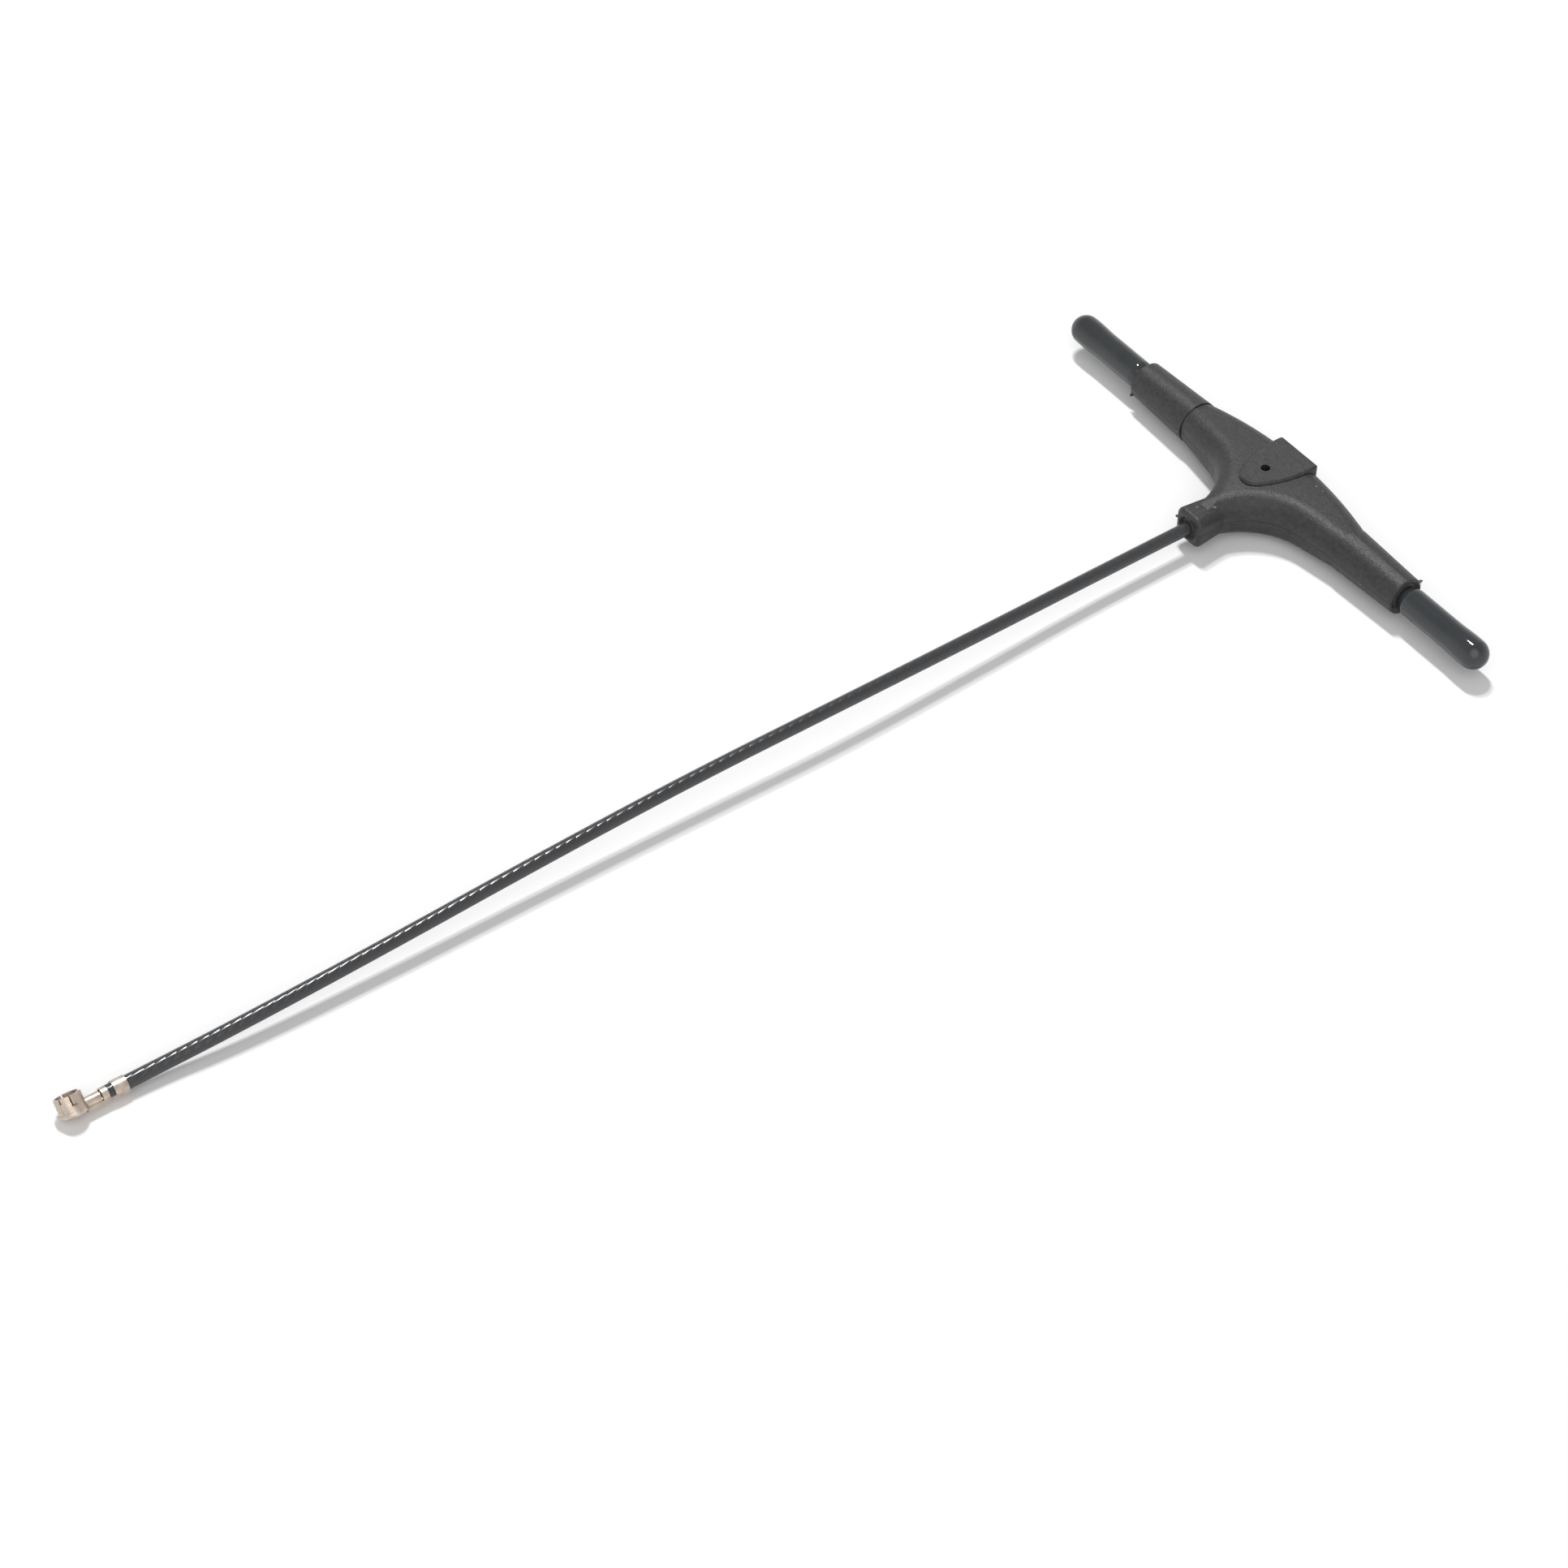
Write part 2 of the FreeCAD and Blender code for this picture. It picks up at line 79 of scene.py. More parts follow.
back = Vector((math.sin(AZIMUTH) * math.cos(ELEVATION),
               -math.cos(AZIMUTH) * math.cos(ELEVATION),
               math.sin(ELEVATION)))
level = Vector((math.cos(AZIMUTH), math.sin(AZIMUTH), 0))
rise = back.cross(level)
right = level * math.cos(ROLL) + rise * math.sin(ROLL)
up = rise * math.cos(ROLL) - level * math.sin(ROLL)
eye = back * DISTANCE + right * ASIDE + up * ABOVE + Vector((0, 0, CROSSBAR_Z))

bpy.ops.object.camera_add()
camera = bpy.context.object
camera.matrix_world = Matrix((right, up, back)).transposed().to_4x4()
camera.location = eye
camera.data.sensor_fit = "HORIZONTAL"
camera.data.sensor_width = SENSOR_WIDTH
camera.data.lens = FOCAL_PIXELS / PICTURE_PIXELS * SENSOR_WIDTH
camera.data.clip_start, camera.data.clip_end = NEAREST, FURTHEST
bpy.context.scene.camera = camera
print("camera at", [round(x / MM, 1) for x in eye], "lens", round(camera.data.lens, 1))

# %% [markdown]
# The tail is one smooth micro coax, 1.13 mm thick and springy. A swept tube with arcs would look like bent
# wire, so it is a NURBS curve whose corner points follow the solid's route, moved by up to a millimetre:
# the shadow on the table shows that the tail arches a little between the stem and the plug. Order 3 keeps
# it inside the corners, and the end points are held. The thickness is each point's radius times a bevel of
# 1, so that the curve's own box has its true size.

# %% Lay the tail
TAIL_POINTS = [(0, -4.4, 2.44), (0, -17, 2.44), (0.46, -31, 2.91), (0.82, -45, 3.41), (0.6, -59, 3.22),
               (0.65, -73, 2.77), (0.87, -87, 2.24), (0.83, -99, 1.73), (0.29, -106.8, 0.9959),
               (0.29, -110.16, 0.9959)]
JACKET_RADIUS = 0.565 * MM
STEPS_ALONG, STEPS_ROUND = 24, 6

route = bpy.data.curves.new("tail_jacket", "CURVE")
route.dimensions = "3D"
spline = route.splines.new("NURBS")
spline.points.add(len(TAIL_POINTS) - 1)
for point, spot in zip(spline.points, TAIL_POINTS):
    point.co = (*(c * MM for c in spot), 1)
    point.radius = JACKET_RADIUS
spline.order_u = 3
spline.use_endpoint_u = True
spline.resolution_u = STEPS_ALONG
route.bevel_depth = 1.0
route.bevel_resolution = STEPS_ROUND
route.use_fill_caps = True
tail = bpy.data.objects.new("tail_jacket", route)
bpy.context.scene.collection.objects.link(tail)
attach(tail, "root")
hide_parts("coax_jacket", "coax_braid", "coax_core", "coax_wire")
print("tail:", len(spline.points), "points")

# %% [markdown]
# Finishes are node materials, as you would wire them by hand in the Shader Editor. Written out node by node
# they get long, so a few helpers keep them short. The first ones start a material, add a node with its
# values, join two sockets, and dress a piece.

# %% Helpers for finishes
def start_finish(name):
    """A new material, its node tree and its shader."""
    finish = bpy.data.materials.new(name)
    finish.use_nodes = True
    return finish, finish.node_tree, finish.node_tree.nodes["Principled BSDF"]


def add(tree, kind, **values):
    """A new node. A value goes to the socket of that name, or else to the node's own setting."""
    node = tree.nodes.new(kind)
    for key, value in values.items():
        if key in node.inputs:
            node.inputs[key].default_value = value
        else:
            setattr(node, key, value)
    return node


def join(tree, source, target):
    tree.links.new(source, target)


def wear(piece, finish):
    piece.data.materials.clear()
    piece.data.materials.append(finish)


print("helpers ready: start, add, join, wear")

# %% [markdown]
# The next helpers are the steps that most finishes share: a sum on values, a value carried from one range
# to another, a colour that runs from dark to light, a colour laid over another by a mask, and a bump.

# %% Helpers for values, colours and bumps
def maths(tree, operation, *terms):
    """One sum. Each term is a number or another node's output."""
    node = add(tree, "ShaderNodeMath", operation=operation)
    for socket, term in zip(node.inputs, terms):
        if isinstance(term, (int, float)):
            socket.default_value = term
        else:
            join(tree, term, socket)
    return node.outputs["Value"]


def mapped(tree, source, low, high, start=0.0, end=1.0, **values):
    """Carries a value from the range start to end over to the range low to high."""
    ranges = {"From Min": start, "From Max": end, "To Min": low, "To Max": high}
    node = add(tree, "ShaderNodeMapRange", **ranges, **values)
    join(tree, source, node.inputs["Value"])
    return node.outputs["Result"]


def tinted(tree, mask, dark, light, start=0.0, end=1.0):
    """Runs from a dark to a light colour while the mask goes from start to end."""
    ramp = add(tree, "ShaderNodeValToRGB")
    first, last = ramp.color_ramp.elements[0], ramp.color_ramp.elements[1]
    first.position, last.position = start, end
    first.color, last.color = (*dark, 1), (*light, 1)
    join(tree, mask, ramp.inputs["Fac"])
    return ramp.outputs["Color"]


def covered(tree, mask, under, colour):
    """Lays a colour over another one where the mask is 1."""
    mix = add(tree, "ShaderNodeMix", data_type="RGBA", B=(*colour, 1))
    join(tree, mask, mix.inputs["Factor"])
    join(tree, under, mix.inputs["A"])
    return mix.outputs["Result"]


def bumped(tree, shader, height, strength, depth):
    bump = add(tree, "ShaderNodeBump", Strength=strength, Distance=depth)
    join(tree, height, bump.inputs["Height"])
    join(tree, bump.outputs["Normal"], shader.inputs["Normal"])


print("helpers ready: maths, mapped, tinted, covered, bumped")

# %% [markdown]
# Spark-eroded moulds leave a fine, even grain on plastic, with a slow cloudiness under it. The same effect
# serves several finishes, so it is a node group: two sizes of noise give a height for the bump and the
# roughness, and a cloud mask for the colour. Each finish sets its own two scales.

# %% Shared effect: moulded grain
FLOAT = "NodeSocketFloat"


def start_group(name, inputs, outputs):
    """A new node group, with the nodes that bring its inputs in and take its outputs out."""
    group = bpy.data.node_groups.new(name, "ShaderNodeTree")
    for label, value in inputs:
        group.interface.new_socket(label, in_out="INPUT", socket_type=FLOAT).default_value = value
    for label in outputs:
        group.interface.new_socket(label, in_out="OUTPUT", socket_type=FLOAT)
    return group, group.nodes.new("NodeGroupInput"), group.nodes.new("NodeGroupOutput")


def use_group(tree, group, **values):
    node = add(tree, "ShaderNodeGroup", node_tree=group)
    for key, value in values.items():
        node.inputs[key].default_value = value
    return node


def place_on_piece(tree):
    return add(tree, "ShaderNodeTexCoord").outputs["Object"]


grain, brought, taken = start_group(
    "moulded_grain", [("Fine", 9000.0), ("Cloud", 600.0)], ["Height", "Cloud"])
spot = place_on_piece(grain)
for scale, detail, roughness, result in (("Fine", 2.0, 0.6, "Height"), ("Cloud", 3.0, 0.55, "Cloud")):
    noise = add(grain, "ShaderNodeTexNoise", Detail=detail, Roughness=roughness)
    join(grain, spot, noise.inputs["Vector"])
    join(grain, brought.outputs[scale], noise.inputs["Scale"])
    join(grain, noise.outputs["Fac"], taken.inputs[result])
print("group:", grain.name, len(grain.nodes), "nodes")

# %% [markdown]
# Pale dust clings to dark plastic. A Voronoi pattern cuts space into cells, each with a colour of its own.
# A speck is the middle of a cell, and only the cells whose red is low enough get one.

# %% Shared effect: dust specks
specks, brought, taken = start_group(
    "dust_specks", [("Scale", 1500.0), ("Size", 0.1), ("Share", 0.05)], ["Mask"])
cells = add(specks, "ShaderNodeTexVoronoi")
join(specks, place_on_piece(specks), cells.inputs["Vector"])
join(specks, brought.outputs["Scale"], cells.inputs["Scale"])
near = maths(specks, "LESS_THAN", cells.outputs["Distance"], brought.outputs["Size"])
split = add(specks, "ShaderNodeSeparateColor")
join(specks, cells.outputs["Color"], split.inputs["Color"])
few = maths(specks, "LESS_THAN", split.outputs["Red"], brought.outputs["Share"])
join(specks, maths(specks, "MULTIPLY", near, few), taken.inputs["Mask"])
print("group:", specks.name, len(specks.nodes), "nodes")

# %% [markdown]
# The housing is charcoal nylon, matt with a faint sheen. One flat grey would look like paint, so its colour
# drifts a little, the grain changes the roughness, and dust clings to it. Where the two halves of the mould
# met, a hair line runs round at mid height. It is too fine to model, so a narrow mask on the height z
# raises it in the bump and darkens it.

# %% Housing finish
SEAM_INNER, SEAM_OUTER, SEAM_RAISE = 0.02 * MM, 0.06 * MM, 0.5
GRAIN_DEPTH = 0.04 * MM
CHARCOAL, CLOUD_RANGE = ((0.02, 0.02, 0.021), (0.036, 0.036, 0.036)), (0.3, 0.7)
SEAM_COLOUR, HOUSING_DUST = (0.014, 0.014, 0.015), (0.24, 0.24, 0.23)
HOUSING_SHEEN, HOUSING_ROUGHNESS = 0.38, (0.36, 0.54)

housing_finish, tree, shader = start_finish("charcoal_nylon")
shader.inputs["Specular IOR Level"].default_value = HOUSING_SHEEN
skin = use_group(tree, grain, Fine=6500.0, Cloud=2600.0)
dust = use_group(tree, specks, Scale=1300.0, Size=0.09, Share=0.07)
height = add(tree, "ShaderNodeSeparateXYZ")
join(tree, place_on_piece(tree), height.inputs["Vector"])
off_seam = maths(tree, "ABSOLUTE", maths(tree, "SUBTRACT", height.outputs["Z"], CROSSBAR_Z))
seam = mapped(tree, off_seam, 1.0, 0.0, SEAM_INNER, SEAM_OUTER)

colour = tinted(tree, skin.outputs["Cloud"], *CHARCOAL, *CLOUD_RANGE)
colour = covered(tree, seam, colour, SEAM_COLOUR)
colour = covered(tree, dust.outputs["Mask"], colour, HOUSING_DUST)
join(tree, colour, shader.inputs["Base Color"])
join(tree, mapped(tree, skin.outputs["Height"], *HOUSING_ROUGHNESS), shader.inputs["Roughness"])
relief = maths(tree, "MULTIPLY_ADD", seam, SEAM_RAISE, skin.outputs["Height"])
bumped(tree, shader, relief, 1.0, GRAIN_DEPTH)
wear(nodes["housing"], housing_finish)
print("housing dressed:", len(tree.nodes), "nodes")

# %% [markdown]
# Where nylon tears, it stretches and turns whitish. The pale patches could be painted, but the clouds of
# the grain have the right shape already, so the run from dark to pale is only made steeper. Three of the
# scraps below get this finish, and two keep the housing's.

# %% Torn finish
WHITENED, WHITENED_RANGE = ((0.05, 0.05, 0.05), (0.26, 0.25, 0.24)), (0.35, 0.65)
TORN_SHEEN, TORN_ROUGHNESS = 0.3, (0.4, 0.65)

torn_finish, tree, shader = start_finish("whitened_nylon")
shader.inputs["Specular IOR Level"].default_value = TORN_SHEEN
skin = use_group(tree, grain, Fine=9000.0, Cloud=5000.0)
colour = tinted(tree, skin.outputs["Cloud"], *WHITENED, *WHITENED_RANGE)
join(tree, colour, shader.inputs["Base Color"])
join(tree, mapped(tree, skin.outputs["Height"], *TORN_ROUGHNESS), shader.inputs["Roughness"])
print("torn finish:", len(tree.nodes), "nodes")

# %% [markdown]
# The two halves of the mould don't close perfectly. At three ends of the parting line a scrap of plastic
# was squeezed out and torn, and two crumbs are stuck on the stem and the boss. Each starts as a thin plate,
# is cut finer, narrowed towards its free edge and pulled about with a fixed seed, then gets a thickness.
# Plain boxes would look like parts, but a torn edge reads as flash.

# %% Model a torn flake
FLASH_THICK, FLASH_CUTS = 0.05, 7
EDGE_ROWS, EDGE_NARROW, EDGE_PULL = (0.3, 0.42), 0.6, 0.16


def torn_plate(name, reach, seed):
    """A plate one unit across, torn along its far edge, thick enough once it is scaled by its reach."""
    bpy.ops.object.select_all(action="DESELECT")
    bpy.ops.mesh.primitive_plane_add(size=1)
    flake = bpy.context.object
    flake.name = name
    bpy.ops.object.mode_set(mode="EDIT")
    bpy.ops.mesh.select_all(action="SELECT")
    bpy.ops.mesh.subdivide(number_cuts=FLASH_CUTS)
    for row in EDGE_ROWS:
        bpy.ops.mesh.select_all(action="DESELECT")
        bpy.ops.object.mode_set(mode="OBJECT")
        for corner in flake.data.vertices:
            corner.select = corner.co.y > row
        bpy.ops.object.mode_set(mode="EDIT")
        bpy.ops.transform.resize(value=(EDGE_NARROW, 1, 1))
        bpy.ops.transform.vertex_random(offset=EDGE_PULL, seed=seed)
    bpy.ops.object.mode_set(mode="OBJECT")
    thickness = flake.modifiers.new("thickness", "SOLIDIFY")
    thickness.thickness = FLASH_THICK / reach
    thickness.offset = 0
    bpy.ops.object.modifier_apply(modifier=thickness.name)
    return flake


def torn_flash(name, root, out, face, length, reach, seed, finish):
    """A flake in its place: root is on the moulding, out is where it points, face where its flat looks."""
    out, face = Vector(out).normalized(), Vector(face).normalized()
    flake = torn_plate(name, reach, seed)
    turn = Matrix((out.cross(face) * length, out * reach, face * reach)).transposed().to_4x4()
    flake.matrix_world = Matrix.Translation(Vector(root) * MM) @ turn @ Matrix.Scale(MM, 4)
    bpy.ops.object.transform_apply(location=True, rotation=True, scale=True)
    bpy.ops.object.mode_set(mode="EDIT")
    bpy.ops.mesh.select_all(action="SELECT")
    bpy.ops.mesh.normals_make_consistent(inside=False)
    bpy.ops.object.mode_set(mode="OBJECT")
    wear(flake, finish)
    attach(flake, "root")
    return flake


print("flakes will be", FLASH_THICK, "mm thick")

# %% [markdown]
# The five scraps: one at the lower lip of the left collar, one at the upper lip of the right collar, one
# beside the boss, and two crumbs on the stem and the boss. Each row gives a root, the two ways it lies, its
# length and reach in millimetres, a seed and a finish, so one function makes them all and no two are alike.

# %% Torn flash
FLASH = [("flash_left_collar", (-16.42, -1.46, 1.61), (-0.2, -0.87, -0.5), (0, -0.5, 0.87), 0.3, 0.4, 3,
          housing_finish),
         ("flash_right_collar", (16.46, 1.46, 3.27), (0.3, 0.87, 0.5), (0, -0.5, 0.87), 0.3, 0.42, 5,
          torn_finish),
         ("flash_boss", (-1.48, -8.93, 2.62), (-1, -0.25, 0), (0, 0, 1), 0.26, 0.34, 8, housing_finish),
         ("crumb_stem", (0.55, -6.8, 3.98), (0.5, 0.6, -0.2), (0.54, -0.21, 0.81), 0.2, 0.3, 11, torn_finish),
         ("crumb_boss", (-0.34, -7.87, 3.875), (0.1, 1, -0.05), (0, 0.06, 1), 0.1, 0.4, 14, torn_finish)]
for scrap in FLASH:
    made = torn_flash(*scrap)
    print(made.name, len(made.data.polygons), "faces")

# %% [markdown]
# The rods are smooth black tubes, dipped or shrunk so that they neck in where they leave the collar and
# swell a little before the round end. That soft profile is what shapes their highlights, so each rod is
# spun here from a finely stepped profile, in place of the solid's straight runs. First comes the profile:
# the radius at each place along the rod, in millimetres.

# %% The rods' profile
ROD_RADIUS, CREST_RADIUS, NECK_RADIUS, ROOT_RADIUS = 1.25, 1.32, 1.0, 0.92
ROD_INNER, ROOT_END, NECK_START, NECK_END = 4.0, 15.85, 16.45, 17.45
SWELL_START, CREST, DOME_START, ROD_END = 21.9, 23.9, 24.6, 25.879
DOME_CENTRE, DOME_RADIUS, CREST_BEND = 24.551, 1.308, 0.0524
SHAFT_STEPS, DOME_STEPS, DOME_FIRST = 80, 20, 0.03


def ease(t):
    t = min(max(t, 0.0), 1.0)
    return t * t * (3 - 2 * t)


def rod_radius(x):
    if x > DOME_START:
        along = min((x - DOME_CENTRE) / (ROD_END - DOME_CENTRE), 1.0)
        return DOME_RADIUS * math.sqrt(1 - along * along)
    if x > CREST:
        return CREST_RADIUS - 0.5 * CREST_BEND * (x - CREST) ** 2
    radius = NECK_RADIUS + (ROD_RADIUS - NECK_RADIUS) * ease((x - NECK_START) / (NECK_END - NECK_START))
    return radius + (CREST_RADIUS - ROD_RADIUS) * ease((x - SWELL_START) / (CREST - SWELL_START))


def rod_profile():
    """Pairs of place and radius: the hidden root, the shaft in even steps, the dome in even angles."""
    profile = [(ROD_INNER, 0.0), (ROD_INNER, ROOT_RADIUS), (ROOT_END, ROOT_RADIUS)]
    places = [NECK_START + (DOME_START - NECK_START) * i / SHAFT_STEPS for i in range(SHAFT_STEPS + 1)]
    for i in range(1, DOME_STEPS + 1):
        turned = math.pi / 2 * (DOME_FIRST + (1 - DOME_FIRST) * i / DOME_STEPS)
        places.append(DOME_CENTRE + (ROD_END - DOME_CENTRE) * math.sin(turned))
    return profile + [(x, rod_radius(x)) for x in places]


print("profile:", len(rod_profile()), "points")

# %% [markdown]
# To spin a piece by hand, you draw half its outline and turn it about an axis. A plane merged to one corner
# is the start: the line is extruded from it point by point, then spun. Merging the doubles closes the seam
# and the poles.

# %% Spin the rods
SMOOTH_UP_TO = math.radians(40)
MERGE_WITHIN = 0.001 * MM
ROD_SIDES = 72
AXIS_Z = CROSSBAR_Z / MM


def spun(name, points, centre, axis, steps, angle=2 * math.pi):
    """Draws a line through points in millimetres, turns it about an axis, then closes and smooths it."""
    bpy.ops.object.select_all(action="DESELECT")
    bpy.ops.mesh.primitive_plane_add(size=MM)
    piece = bpy.context.object
    piece.name = piece.data.name = name
    bpy.ops.object.mode_set(mode="EDIT")
    bpy.ops.mesh.select_all(action="SELECT")
    bpy.ops.mesh.merge(type="CENTER")
    bpy.ops.transform.translate(value=Vector(points[0]) * MM)
    for here, there in zip(points, points[1:]):
        step = (Vector(there) - Vector(here)) * MM
        bpy.ops.mesh.extrude_region_move(TRANSFORM_OT_translate={"value": step})
    bpy.ops.mesh.select_all(action="SELECT")
    bpy.ops.mesh.spin(steps=steps, angle=angle, center=Vector(centre) * MM, axis=axis)
    bpy.ops.mesh.select_all(action="SELECT")
    bpy.ops.mesh.remove_doubles(threshold=MERGE_WITHIN)
    bpy.ops.mesh.fill_holes(sides=0)
    bpy.ops.mesh.normals_make_consistent(inside=False)
    bpy.ops.object.mode_set(mode="OBJECT")
    bpy.ops.object.shade_smooth_by_angle(angle=SMOOTH_UP_TO)
    return piece


rods = {}
for name, side in (("left_rod", -1), ("right_rod", 1)):
    points = [(side * x, 0, AXIS_Z + r) for x, r in rod_profile()]
    rods[name] = spun(name + "_sleeve", points, (0, 0, AXIS_Z), (1, 0, 0), ROD_SIDES)
    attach(rods[name], "root")
    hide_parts(name)
    print(name, len(rods[name].data.polygons), "faces")

# %% [markdown]
# The rods are almost mirrors, black with a slight blue-green cast. A perfect gloss looks too clean, so a
# breath of haze follows the slow clouds of the grain, with no bump to break the long highlights. The solids
# that they stand for get it too.

# %% Rod finish
GLOSS_BLACK, GLOSS_ROUGHNESS = ((0.025, 0.028, 0.03), (0.034, 0.038, 0.041)), (0.025, 0.05)

rod_finish, tree, shader = start_finish("gloss_black")
skin = use_group(tree, grain, Fine=2500.0, Cloud=350.0)
colour = tinted(tree, skin.outputs["Cloud"], *GLOSS_BLACK)
join(tree, colour, shader.inputs["Base Color"])
join(tree, mapped(tree, skin.outputs["Cloud"], *GLOSS_ROUGHNESS), shader.inputs["Roughness"])
for piece in (*rods.values(), nodes["left_rod"], nodes["right_rod"]):
    wear(piece, rod_finish)
print("rods dressed:", len(tree.nodes), "nodes")

# %% [markdown]
# Where rods and tail leave the moulding, plastic has crept a little way along them and closed the gap. A
# seal fills the bottom of each mouth: a small closed profile with a rounded lip, spun about the rod or the
# tail. Without it the mouths would look like deep black holes.

# %% Seals in the mouths
COLLAR_SEAL = [(16.1, 0.9), (16.3, 1.22), (16.34, 1.12), (16.37, 1.05), (16.42, 1.01), (16.46, 0.98),
               (16.46, 0.9)]
BOSS_SEAL = [(-8.4, 0.5), (-8.45, 0.62), (-8.82, 0.9), (-8.86, 0.8), (-8.89, 0.7), (-8.95, 0.62),
             (-9.02, 0.585), (-9.02, 0.5)]
SEAL_SIDES = 48

mouths = [("seal_left", [(-x, 0, AXIS_Z + r) for x, r in COLLAR_SEAL], (1, 0, 0)),
          ("seal_right", [(x, 0, AXIS_Z + r) for x, r in COLLAR_SEAL], (1, 0, 0)),
          ("seal_boss", [(r, y, AXIS_Z) for y, r in BOSS_SEAL], (0, 1, 0))]
for name, points, axis in mouths:
    seal = spun(name, points + points[:1], (0, 0, AXIS_Z), axis, SEAL_SIDES)
    wear(seal, housing_finish)
    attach(seal, "root")
    print(name, len(seal.data.polygons), "faces")

# %% [markdown]
# The tail's thin jacket is drawn tight over a braid, and the bundles of strands show through as faint
# ridges with a long lay. They break the light into slanted dashes. Folding a sine wave at its middle gives
# such a row of round ridges with sharp valleys between them.

# %% Jacket finish
STRAND_GAP, RIDGE_HEIGHT, LAY_ANGLE = 0.61 * MM, 0.0165 * MM, 50
WAVES_PER_SCALE, WAVE_MIDDLE = 20 / math.pi, 0.5
STRAND_WANDER, WANDER_SCALE = 0.9, 1.5
JACKET_BLACK, JACKET_DUST = ((0.032, 0.033, 0.035), (0.041, 0.042, 0.045)), (0.3, 0.3, 0.29)
JACKET_ROUGHNESS = (0.18, 0.25)

jacket_finish, tree, shader = start_finish("jacket_over_braid")
turn = add(tree, "ShaderNodeMapping", Rotation=(0, 0, math.radians(LAY_ANGLE)))
join(tree, place_on_piece(tree), turn.inputs["Vector"])
wave = add(tree, "ShaderNodeTexWave", wave_type="BANDS", bands_direction="Y", Distortion=STRAND_WANDER)
wave.inputs["Scale"].default_value = 1 / (WAVES_PER_SCALE * STRAND_GAP)
wave.inputs["Detail Scale"].default_value = WANDER_SCALE
join(tree, turn.outputs["Vector"], wave.inputs["Vector"])
ridge = maths(tree, "ABSOLUTE", maths(tree, "SUBTRACT", wave.outputs["Fac"], WAVE_MIDDLE))
bumped(tree, shader, ridge, 1.0, 2 * RIDGE_HEIGHT)

skin = use_group(tree, grain, Fine=4000.0, Cloud=200.0)
dust = use_group(tree, specks, Scale=1100.0, Size=0.07, Share=0.05)
colour = tinted(tree, skin.outputs["Cloud"], *JACKET_BLACK)
colour = covered(tree, dust.outputs["Mask"], colour, JACKET_DUST)
join(tree, colour, shader.inputs["Base Color"])
join(tree, mapped(tree, skin.outputs["Cloud"], *JACKET_ROUGHNESS), shader.inputs["Roughness"])
wear(tail, jacket_finish)
print("tail dressed:", len(tree.nodes), "nodes")

# %% [markdown]
# The plug is stamped from bronze sheet and plated: a warm pale metal, a little cloudy from handling. The
# contact is gold, made darker than bare gold as painted shade for the inside of the ring, and the wires
# inside are silvered copper, brass and solder. One recipe makes them all: a cloudy colour, a roughness that
# follows the clouds, and a faint bump.

# %% Metal finishes
METAL_GRAIN, METAL_BUMP, METAL_DEPTH = 12000.0, 0.25, 0.01 * MM


def plated(name, dark, light, low, high, cloud_scale):
    finish, tree, shader = start_finish(name)
    shader.inputs["Metallic"].default_value = 1.0
    skin = use_group(tree, grain, Fine=METAL_GRAIN, Cloud=cloud_scale)
    join(tree, tinted(tree, skin.outputs["Cloud"], dark, light, *CLOUD_RANGE), shader.inputs["Base Color"])
    join(tree, mapped(tree, skin.outputs["Cloud"], low, high), shader.inputs["Roughness"])
    bumped(tree, shader, skin.outputs["Height"], METAL_BUMP, METAL_DEPTH)
    return finish


plug_finish = plated("warm_plate", (0.46, 0.385, 0.325), (0.66, 0.565, 0.48), 0.32, 0.46, 1800.0)
# The contact's gold is darker than bare gold: painted shade for the inside of the ring, seen through its
# slits.
shaded_gold_finish = plated("gold_plate_painted_shade", (0.44, 0.31, 0.15), (0.56, 0.41, 0.2), 0.2, 0.32, 2000.0)
silver_finish = plated("silvered_wire", (0.6, 0.59, 0.57), (0.74, 0.72, 0.7), 0.25, 0.4, 2500.0)
brass_finish = plated("drawn_brass", (0.6, 0.42, 0.2), (0.74, 0.54, 0.28), 0.25, 0.4, 900.0)
solder_finish = plated("dull_solder", (0.5, 0.5, 0.51), (0.68, 0.68, 0.69), 0.3, 0.5, 1800.0)
METAL_PIECES = {"plug_shell": plug_finish, "plug_contact": shaded_gold_finish, "coax_braid": silver_finish,
                "coax_wire": silver_finish, "braid_pigtail": silver_finish, "left_element": brass_finish,
                "right_element": brass_finish, "feed_joint": solder_finish}
for name, finish in METAL_PIECES.items():
    wear(nodes[name], finish)
print("metals dressed:", len(METAL_PIECES), "pieces")

# %% [markdown]
# Two pale plastics finish the plug and the coax: the cream moulding that holds the contact, and the waxy
# core. Light goes a little way into them, which a small share of subsurface scattering gives.

# %% Pale plastics
LIGHT_SHARE, LIGHT_DEPTH = 0.1, (0.4 * MM, 0.3 * MM, 0.2 * MM)
PALE_ROUGHNESS, PALE_BUMP, PALE_DEPTH = 0.4, 0.3, 0.01 * MM


def pale(name, dark, light):
    finish, tree, shader = start_finish(name)
    shader.inputs["Subsurface Weight"].default_value = LIGHT_SHARE
    shader.inputs["Subsurface Radius"].default_value = LIGHT_DEPTH
    shader.inputs["Roughness"].default_value = PALE_ROUGHNESS
    skin = use_group(tree, grain, Fine=9000.0, Cloud=1500.0)
    join(tree, tinted(tree, skin.outputs["Cloud"], dark, light), shader.inputs["Base Color"])
    bumped(tree, shader, skin.outputs["Height"], PALE_BUMP, PALE_DEPTH)
    return finish


cream_finish = pale("cream_moulding", (0.44, 0.38, 0.28), (0.56, 0.495, 0.38))
wear(nodes["plug_insulator"], cream_finish)
wear(nodes["coax_core"], pale("waxy_core", (0.74, 0.73, 0.7), (0.84, 0.83, 0.8)))
print("plastics dressed")

